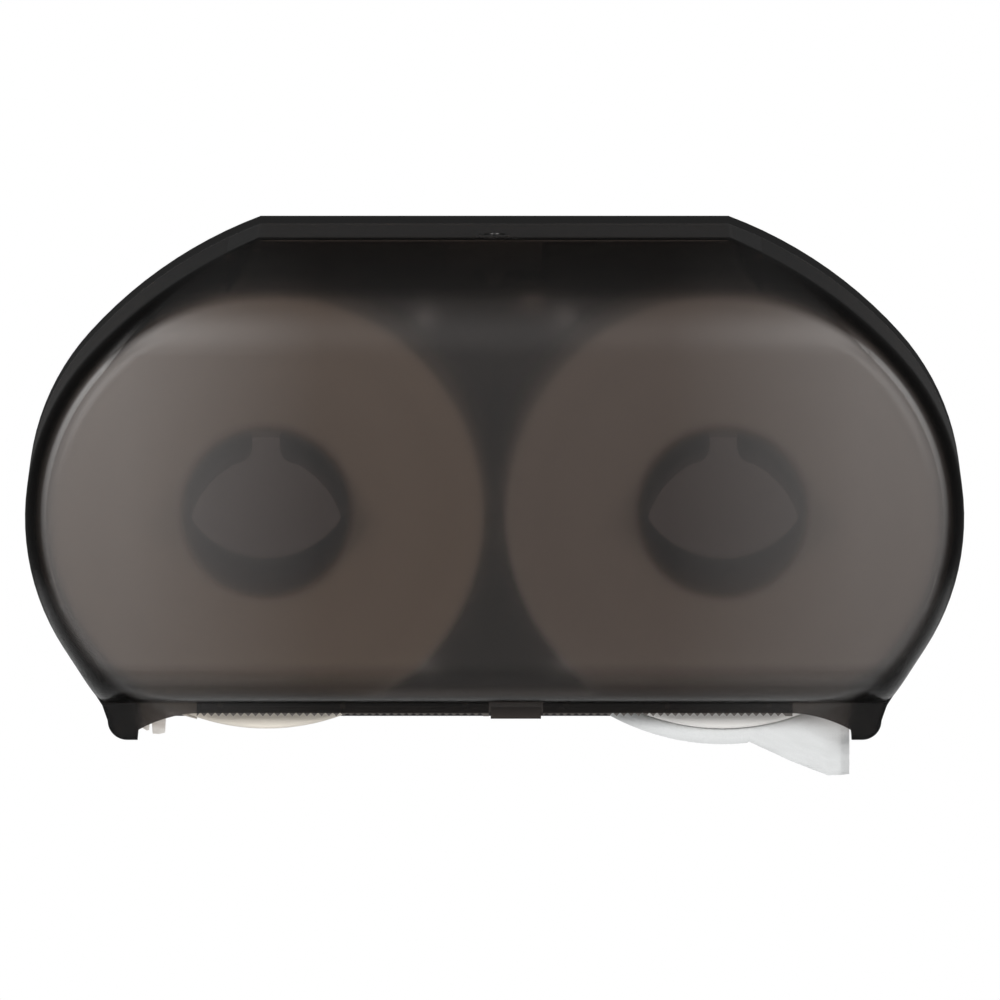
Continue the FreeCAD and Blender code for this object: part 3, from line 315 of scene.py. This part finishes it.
def makeLoosePaper(name, colour):  # a single ply, embossed in its own flat pattern
    finish = newFinish(name)
    flat = finish.add("ShaderNodeUVMap", {"uv_map": "UVMap"})
    pattern = {"Vector": flat, "Scale": loosePaper["dotScale"], "Randomness": loosePaper["dotSpread"]}
    dots = finish.add("ShaderNodeTexVoronoi", {"feature": "F1"}, pattern, "Distance")
    fibres = finish.noise(flat, tissue["fibreScale"], 4.0)
    drawn = finish.add("ShaderNodeMapping", {}, {"Vector": flat, "Scale": loosePaper["streakStretch"]})
    streaks = finish.noise(drawn, loosePaper["streakScale"], 2.0)
    shade = fibres * (1 - loosePaper["streakShare"]) + streaks * loosePaper["streakShare"]
    shade = finish.between(shade, loosePaper["shadeFrom"], loosePaper["shadeTo"])
    darker = [part * loosePaper["streakShade"] for part in colour]
    relief = dots * loosePaper["dotBump"] + fibres * tissue["fibreBump"]
    return finish.close(finish.principled(
        Base_Color=finish.blend(shade, opaque(darker), opaque(colour)), Roughness=loosePaper["roughness"],
        Specular_IOR_Level=loosePaper["specular"], Sheen_Weight=loosePaper["sheen"],
        Sheen_Roughness=tissue["sheenRoughness"],
        Normal=finish.bump(relief, loosePaper["strength"], loosePaper["depth"])))


finishes = {
    "smokedPlastic": makeSmokedPlastic(),
    "blackPlastic": makeMoulded("blackPlastic", (0.022, 0.021, 0.021), 0.46),
    "greyPlastic": makeMoulded("greyPlastic", (0.27, 0.27, 0.295), 0.42, 700, 0.06, 0.05),
    "darkPlastic": makeMoulded("darkPlastic", (0.075, 0.067, 0.061), 0.42, 1200, 0.08),
    "steel": makeBrushedMetal("steel", (0.62, 0.61, 0.59), 0.34, (1, 9, 1)),
    "lockMetal": makeBrushedMetal("lockMetal", (0.10, 0.098, 0.096), 0.34, (7, 7, 1), 0.2),
    "boardLeft": makeBoard("boardLeft", -axisX),
    "boardRight": makeBoard("boardRight", axisX),
    "rollPaperLeft": makeRollPaper("rollPaperLeft", -axisX, "cream"),
    "rollPaperRight": makeRollPaper("rollPaperRight", axisX, "white"),
    "loosePaper": makeLoosePaper("loosePaper", (0.665, 0.675, 0.675)),
    "scrapPaper": makeLoosePaper("scrapPaper", (0.78, 0.75, 0.71)),
}
print("finishes made:", len(finishes))

nodeFinishes = {
    "smokedPlastic": ["front_cover"],
    "blackPlastic": ["back_plate", "lock_housing"],
    "greyPlastic": ["spindle_left", "spindle_right"],
    "darkPlastic": ["tear_bar_left", "tear_bar_right"],
    "steel": ["hinge_pin_left", "hinge_pin_right", "tear_bar_clips"],
    "lockMetal": ["lock_barrel", "lock_nut", "lock_plug", "lock_cam", "strike_bracket"],
    "boardLeft": ["core_left"],
    "boardRight": ["core_right"],
}


def dress(piece, name):
    piece.data.materials.clear()
    piece.data.materials.append(finishes[name])


for finishName, nodeNames in nodeFinishes.items():
    for nodeName in nodeNames:
        dress(nodes[nodeName], finishName)
print("solids dressed")


# modelling helpers


def deselect():
    if bpy.context.object and bpy.context.object.mode != "OBJECT":
        bpy.ops.object.mode_set(mode="OBJECT")
    bpy.ops.object.select_all(action="DESELECT")


def settle(piece, name):  # the place goes into the mesh
    piece.name = piece.data.name = name
    bpy.ops.object.transform_apply(location=True, rotation=True, scale=True)
    return piece


def pick(piece, kind, chosen):  # selects faces or edges or vertices by a test, and goes to edit mode
    bpy.ops.object.mode_set(mode="EDIT")
    bpy.ops.mesh.select_mode(type=kind)
    bpy.ops.mesh.select_all(action="DESELECT")
    bpy.ops.object.mode_set(mode="OBJECT")
    mesh = piece.data
    parts = {"FACE": mesh.polygons, "EDGE": mesh.edges, "VERT": mesh.vertices}[kind]
    for part in parts:
        part.select = bool(chosen(mesh, part))
    bpy.ops.object.mode_set(mode="EDIT")


def runs(mesh, edge):  # from one end to the other
    first, second = (mesh.vertices[n].co for n in edge.vertices)
    return second - first


def applyModifier(piece, kind, **settings):
    modifier = piece.modifiers.new(kind.lower(), kind)
    for name, value in settings.items():
        setattr(modifier, name, value)
    bpy.context.view_layer.objects.active = piece
    bpy.ops.object.modifier_apply(modifier=modifier.name)


def finishMesh(piece, angle):  # joins doubles, turns faces out, smooths below an angle
    bpy.ops.object.mode_set(mode="EDIT")
    bpy.ops.mesh.select_all(action="SELECT")
    bpy.ops.mesh.remove_doubles(threshold=1e-6)
    bpy.ops.mesh.normals_make_consistent(inside=False)
    bpy.ops.object.mode_set(mode="OBJECT")
    bpy.ops.object.shade_smooth_by_angle(angle=radians(angle))


# paper rolls

roll = {"sides": 144, "rimRound": 0.0024, "rimSteps": 3, "bore": 0.04465, "boreRoom": 1.02, "layers": 13,
        "unevenDepth": 0.0007, "firstDepth": 0.8, "meanDepth": 0.55, "drawSteps": (1.7, 3.1, 40),
        "smoothAngle": 35}


def layerDepth(layer, sign, centreX):  # wound layers stand slightly in or out of each other
    if not layer:
        return -roll["unevenDepth"] * roll["firstDepth"]
    spot = [place * step for place, step in zip((layer, sign, centreX), roll["drawSteps"])]
    return roll["unevenDepth"] * (noise.noise(spot) - roll["meanDepth"])


def makeRoll(side):
    low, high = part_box("tissue_roll_" + side)
    radius, depth = (high.x - low.x) / 2, high.y - low.y
    middle = (low + high) / 2
    deselect()
    bpy.ops.mesh.primitive_cylinder_add(vertices=roll["sides"], radius=radius, depth=depth,
                                        location=middle, rotation=(pi / 2, 0, 0))
    piece = settle(bpy.context.object, "paperRoll_" + side)
    pick(piece, "EDGE", lambda mesh, edge: abs(runs(mesh, edge).y) < 1e-6)
    bpy.ops.mesh.bevel(offset=roll["rimRound"], segments=roll["rimSteps"], affect="EDGES")
    bpy.ops.object.mode_set(mode="OBJECT")
    step = (radius - roll["rimRound"] - roll["bore"]) / roll["layers"] / cos(pi / roll["sides"])
    for sign in (-1, 1):
        for layer in range(roll["layers"]):
            pick(piece, "FACE", lambda mesh, face: (
                len(face.vertices) == roll["sides"] and face.normal.y * sign > 0.9))
            bpy.ops.mesh.inset(thickness=step, depth=layerDepth(layer, sign, middle.x))
            bpy.ops.object.mode_set(mode="OBJECT")
    pick(piece, "FACE", lambda mesh, face: len(face.vertices) == roll["sides"])
    bpy.ops.mesh.delete(type="ONLY_FACE")
    bpy.ops.object.mode_set(mode="OBJECT")
    bore = roll["bore"] * roll["boreRoom"]
    pick(piece, "EDGE", lambda mesh, edge: all(
        ((mesh.vertices[n].co - middle) * Vector((1, 0, 1))).length < bore for n in edge.vertices))
    bpy.ops.mesh.bridge_edge_loops()
    bpy.ops.object.mode_set(mode="OBJECT")
    finishMesh(piece, roll["smoothAngle"])
    dress(piece, "rollPaper" + side.capitalize())
    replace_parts(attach(piece, "roll_" + side), "tissue_roll_" + side)


for side in sides:
    makeRoll(side)
print("paper rolls made")


# screws with a cross recess

screws = {
    "spindle_screws": {"body": "base", "finish": "steel", "head": 0.004, "tall": 0.0016, "long": 0.012,
                       "face": (0, 1, 0),
                       "spots": [(sign * axisX + x, -0.0002, z) for sign in sides.values()
                                 for x, z in ((-0.020, 0), (0.020, 0), (0, 0.019))]},
    "strike_screws": {"body": "base", "finish": "steel", "head": 0.004, "tall": 0.0016, "long": 0.0065,
                      "face": (0, -1, 0), "spots": [(0.0195, -0.0096, z) for z in (0.1005, 0.1105)]},
    "lock_housing_screws": {"body": "cover", "finish": "lockMetal", "head": 0.004, "tall": 0.0016,
                            "long": 0.011, "face": (0, 0, -1),
                            "spots": [(x, -0.092, 0.1244) for x in (-0.018, 0.018)]},
    "cam_screw": {"body": "lock", "finish": "lockMetal", "head": 0.005, "tall": 0.0025, "long": 0.008,
                  "face": (0, 0, -1), "spots": [(0, -0.092, 0.116)]},
}
screwShape = {"sides": 40, "shank": 0.00196, "tip": 0.3, "rimRound": 0.0004, "rimSteps": 3,
              "slotLong": 1.2, "slotWide": 0.26, "slotDeep": 0.62, "firstTurn": 0.4, "turnStep": 1.1,
              "smoothAngle": 30}


def makeScrew(facts):  # the head's face at the origin, the shank below
    deselect()
    bpy.ops.mesh.primitive_cylinder_add(vertices=screwShape["sides"], radius=facts["head"],
                                        depth=facts["tall"], location=(0, 0, -facts["tall"] / 2))
    piece = settle(bpy.context.object, "screw")
    pick(piece, "EDGE", lambda mesh, edge: all(abs(mesh.vertices[n].co.z) < 1e-7 for n in edge.vertices))
    bpy.ops.mesh.bevel(offset=screwShape["rimRound"], segments=screwShape["rimSteps"], affect="EDGES")
    pick(piece, "FACE", lambda mesh, face: face.normal.z < -0.9)
    bpy.ops.mesh.inset(thickness=facts["head"] - screwShape["shank"])
    for drop in (screwShape["shank"] - facts["long"], -screwShape["shank"]):
        bpy.ops.mesh.extrude_region_move(TRANSFORM_OT_translate={"value": (0, 0, drop)})
    bpy.ops.transform.resize(value=(screwShape["tip"], screwShape["tip"], 1))
    bpy.ops.object.mode_set(mode="OBJECT")
    for turn in (0, pi / 2):
        deselect()
        bpy.ops.mesh.primitive_cube_add(size=1, rotation=(0, 0, turn), scale=(
            facts["head"] * screwShape["slotLong"], facts["head"] * screwShape["slotWide"],
            2 * facts["tall"] * screwShape["slotDeep"]))
        cutter = settle(bpy.context.object, "slot")
        applyModifier(piece, "BOOLEAN", operation="DIFFERENCE", solver="EXACT", object=cutter)
        bpy.data.objects.remove(cutter)
    deselect()
    piece.select_set(True)
    bpy.context.view_layer.objects.active = piece
    return piece


def makeScrews(node):
    facts = screws[node]
    made = []
    for number, spot in enumerate(facts["spots"]):
        piece = makeScrew(facts)
        piece.rotation_euler = Vector(facts["face"]).to_track_quat("Z", "Y").to_euler()
        piece.rotation_euler.rotate_axis("Z", screwShape["firstTurn"] + screwShape["turnStep"] * number)
        piece.location = spot
        made.append(settle(piece, "screw"))
    deselect()
    for piece in made:
        piece.select_set(True)
    bpy.context.view_layer.objects.active = made[0]
    if len(made) > 1:
        bpy.ops.object.join()
    words = node.split("_")
    piece = settle(bpy.context.object, words[0] + "".join(word.capitalize() for word in words[1:]))
    finishMesh(piece, screwShape["smoothAngle"])
    dress(piece, facts["finish"])
    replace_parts(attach(piece, facts["body"]), node)


for node in screws:
    makeScrews(node)
print("screws made")


# loose paper

sheet = {"ply": 0.00025, "smoothAngle": 60}


def makeGrid(name, across, along, shape, flat, finishName):  # a flat cut, then laid as it hangs
    deselect()
    bpy.ops.mesh.primitive_grid_add(x_subdivisions=along, y_subdivisions=across, size=1)
    piece = settle(bpy.context.object, name)
    for loop, corner in zip(piece.data.uv_layers["UVMap"].data, piece.data.loops):
        at = piece.data.vertices[corner.vertex_index].co
        loop.uv = ((at.x + 0.5) * flat[1], (at.y + 0.5) * flat[0])
    for vertex in piece.data.vertices:
        vertex.co = shape(vertex.co.x + 0.5, vertex.co.y + 0.5)
    applyModifier(piece, "SOLIDIFY", thickness=sheet["ply"], offset=0)
    finishMesh(piece, sheet["smoothAngle"])
    dress(piece, finishName)
    return piece


def smooth(value, low, high):  # from 0 to 1 with soft ends
    part = min(max((value - low) / (high - low), 0), 1)
    return part * part * (3 - 2 * part)


def lineAt(points, x):  # height of a line through points
    for (x0, z0), (x1, z1) in zip(points, points[1:]):
        if x <= x1 or (x1, z1) == points[-1]:
            return z0 + (z1 - z0) * min(max((x - x0) / (x1 - x0), 0), 1)


rightTail = {
    "side": "right", "name": "looseTurn_right", "finish": "loosePaper", "grid": (84, 150),
    "axis": axisX, "radius": 0.1136, "front": -0.0949, "startTurn": -135, "endTurn": -54.7,
    "width": 0.084, "flat": (0.084, 0.160), "bend": 0.004,
    "sagRadius": 0.1212, "sagFrom": 0.0377, "sagTo": 0.0589,
    "edge": [(0.1316, -0.1198), (0.1526, -0.1297), (0.1726, -0.1375), (0.1838, -0.1373)],
    "fold": 0.1790, "foldSlope": 0.8, "ripple": 0.0005, "rippleRun": 0.0085,
    "tornFrom": 0.145, "tornTo": 0.175, "torn": 0.012, "jag": 0.003,
}
leftTail = {
    "side": "left", "name": "tornEnd_left", "finish": "scrapPaper", "grid": (60, 120),
    "axis": -axisX, "radius": 0.1136, "front": -0.0949, "startTurn": -108.5, "endTurn": -125.0,
    "width": 0.040, "flat": (0.040, 0.033), "bend": 0.003, "hem": -0.1160,
    "edge": [(-0.1835, -0.1120), (-0.1800, -0.1142), (-0.1788, -0.1138), (-0.1784, -0.1070),
             (-0.1774, -0.1075), (-0.1770, -0.1158), (-0.1735, -0.1160), (-0.1706, -0.1152),
             (-0.1702, -0.1045), (-0.1650, -0.1052), (-0.1540, -0.1078)],
    "fold": -0.1538, "foldSlope": 0.0, "ripple": 0.0004, "rippleRun": 0.006,
    "tornFrom": -0.172, "tornTo": -0.184, "torn": 0.004, "jag": 0.002,
}
hang = {"jagScale": 300, "bendShare": 0.45, "leastDrop": 0.001, "waveScales": (40, 25), "waveTurn": 5,
        "wavyFrom": 0.004, "wavyTo": 0.02, "curl": 0.0010, "curlTo": 0.0022,
        "curledFrom": 0.002, "curledTo": 0.008}


def rightEdge(x):  # the loose turn's front edge, then the pulled corner
    sag, lie = (-((rightTail[key] ** 2 - (x - axisX) ** 2) ** 0.5) for key in ("sagRadius", "radius"))
    if x < rightTail["edge"][0][0]:
        return lie + (sag - lie) * smooth(x, rightTail["sagFrom"], rightTail["sagTo"])
    return lineAt(rightTail["edge"], x)


def leftEdge(x):
    return lineAt(leftTail["edge"], x)


def turnAt(tail, u):  # where on the roll the sheet's length has got to
    return radians(tail["startTurn"] + (tail["endTurn"] - tail["startTurn"]) * u)


def cutWidth(tail, x):  # the flat sheet's width, less what is torn off its back edge
    ragged = abs(noise.noise((x * hang["jagScale"], 2.0, 7.0))) * tail["jag"] + tail["torn"]
    return tail["width"] - ragged * smooth(x, tail["tornFrom"], tail["tornTo"])


def tornOff(tail, edge, x):  # what the tear takes off the front edge
    return max(edge(x) - tail["hem"], 0) if "hem" in tail else 0


def cutArea(tail, edge, steps=200):  # the flat area of the torn sheet
    turns = [turnAt(tail, (n + 0.5) / steps) for n in range(steps)]
    spots = [tail["axis"] + tail["radius"] * cos(turn) for turn in turns]
    return tail["flat"][1] * sum(cutWidth(tail, x) - tornOff(tail, edge, x) for x in spots) / steps


def pushedBack(tail, x, way, start, drop):  # ripples, a fold and a curled hem in the hanging part
    across, down = hang["waveScales"]
    stray = hang["waveTurn"] * noise.noise((x * across, way * down, 1.0))
    wave = tail["ripple"] * (1 + sin(2 * pi * way / tail["rippleRun"] + stray))
    hangs = 1 - smooth(way, 0, max(drop, hang["leastDrop"]))
    fold = max(x - tail["fold"], 0) * tail["foldSlope"]
    curl = hang["curl"] * (1 - smooth(way - start, 0, hang["curlTo"]))
    return ((wave + fold) * hangs * smooth(drop, hang["wavyFrom"], hang["wavyTo"])
            + curl * smooth(drop, hang["curledFrom"], hang["curledTo"]))


def hung(tail, edge):  # the paper drops in front of the roll and goes back along its underside
    def shape(u, v):
        turn = turnAt(tail, u)
        x, lie = tail["axis"] + tail["radius"] * cos(turn), tail["radius"] * sin(turn)
        start = tornOff(tail, edge, x)
        low = min(edge(x) - start, lie)
        drop = lie - low
        bend = min(tail["bend"], drop * hang["bendShare"])
        rise = drop - bend
        way = start + v * (cutWidth(tail, x) - start)
        behind = tail["front"] + pushedBack(tail, x, way, start, drop)
        if way < rise:
            return Vector((x, behind, low + way))
        if bend and way < rise + bend * pi / 2:
            angle = (way - rise) / bend
            return Vector((x, behind + bend * (1 - cos(angle)), lie - bend + bend * sin(angle)))
        return Vector((x, tail["front"] + bend + way - rise - bend * pi / 2, lie))
    return shape


def makeTail(tail, edge):
    across, along = tail["grid"]
    piece = makeGrid(tail["name"], across, along, hung(tail, edge), tail["flat"], tail["finish"])
    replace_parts(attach(piece, "base"), "tissue_tail_" + tail["side"])
    area = cutArea(tail, edge)
    print(piece.name, "flat", tail["flat"], "flat area", round(area, 6))


makeTail(rightTail, rightEdge)
makeTail(leftTail, leftEdge)
print("loose paper made")


# studio

camera = {"aim": (0.0028, -0.101, 0.0068), "far": 16.0, "up": 6.5, "wide": 0.517, "sensor": 36.0}


def makeCamera():  # far off, so that the view is nearly parallel
    up = radians(camera["up"])
    aim = Vector(camera["aim"])
    back = Vector((0, -cos(up), sin(up)))
    data = bpy.data.cameras.new("photoCamera")
    data.sensor_width = camera["sensor"]
    data.lens = camera["sensor"] * camera["far"] / camera["wide"]
    eye = bpy.data.objects.new("photoCamera", data)
    eye.location = aim + back * camera["far"]
    eye.rotation_euler = (pi / 2 - up, 0, 0)
    bpy.context.scene.collection.objects.link(eye)
    bpy.context.scene.camera = eye


lampAim = (0, -0.08, 0)
lamps = {
    "leftBox": {"turn": -28, "up": 12, "far": 1.35, "size": (0.44, 0.34), "watts": 10.2},
    "rightBox": {"turn": 28, "up": 12, "far": 1.35, "size": (0.44, 0.34), "watts": 7.6},
}


def makeLamp(name):
    facts = lamps[name]
    turn, up = radians(facts["turn"]), radians(facts["up"])
    back = Vector((sin(turn) * cos(up), -cos(turn) * cos(up), sin(up)))
    data = bpy.data.lights.new(name, "AREA")
    data.shape, data.energy = "RECTANGLE", facts["watts"]
    data.size, data.size_y = facts["size"]
    lamp = bpy.data.objects.new(name, data)
    lamp.location = Vector(lampAim) + back * facts["far"]
    lamp.rotation_euler = (-back).to_track_quat("-Z", "Y").to_euler()
    bpy.context.scene.collection.objects.link(lamp)


sky = {"soft": ((0.3, 0.60), (0.55, 0.30), (1.0, 0.22)),
       "mirrored": ((0.40, 0.10), (0.53, 0.05), (0.75, 0.05), (1.0, 0.12))}


def makeSky():  # white where it is looked at, dim where it is mirrored
    world = bpy.data.worlds.new("studio")
    bpy.context.scene.world = world
    finish = Finish(world)
    spot = finish.add("ShaderNodeTexCoord", output="Generated")
    height = finish.axis(spot, "Z") * 0.5 + 0.5
    soft, mirrored = (finish.ramp(height, *((place, [level] * 3) for place, level in sky[key]))
                      for key in ("soft", "mirrored"))
    looked, through, glossy = (finish.add("ShaderNodeLightPath", output=name)
                               for name in ("Is Camera Ray", "Is Transmission Ray", "Is Glossy Ray"))
    shade = finish.blend(glossy, soft, mirrored)
    shade = finish.blend(finish.between(looked + through, 0.0, 1.0), shade, grey(1))
    light = finish.add("ShaderNodeBackground", {}, {"Color": shade, "Strength": 1.0})
    finish.add("ShaderNodeOutputWorld", {}, {"Surface": light})


floorFacts = {"height": -0.55, "half": 1.4, "colour": (0.90, 0.90, 0.90), "glow": 0.75}


def makeFloor():
    deselect()
    bpy.ops.mesh.primitive_plane_add(size=2 * floorFacts["half"], location=(0, 0, floorFacts["height"]))
    floor = settle(bpy.context.object, "floor")
    finish = newFinish("floorPaint")
    paint = finish.add("ShaderNodeBsdfDiffuse", {}, {"Color": opaque(floorFacts["colour"])})
    glow = finish.add("ShaderNodeEmission", {}, {"Color": grey(1), "Strength": 1.0})
    seen = sum(finish.add("ShaderNodeLightPath", output=name)
               for name in ("Is Camera Ray", "Is Glossy Ray", "Is Transmission Ray"))
    share = finish.between(seen, 0.0, 1.0, 0.0, floorFacts["glow"])
    floor.data.materials.append(finish.close(
        finish.add("ShaderNodeMixShader", {}, {0: share, 1: paint, 2: glow})))


makeCamera()
for lampName in lamps:
    makeLamp(lampName)
makeSky()
makeFloor()
bpy.context.scene.view_settings.view_transform = "Standard"
print("studio made")
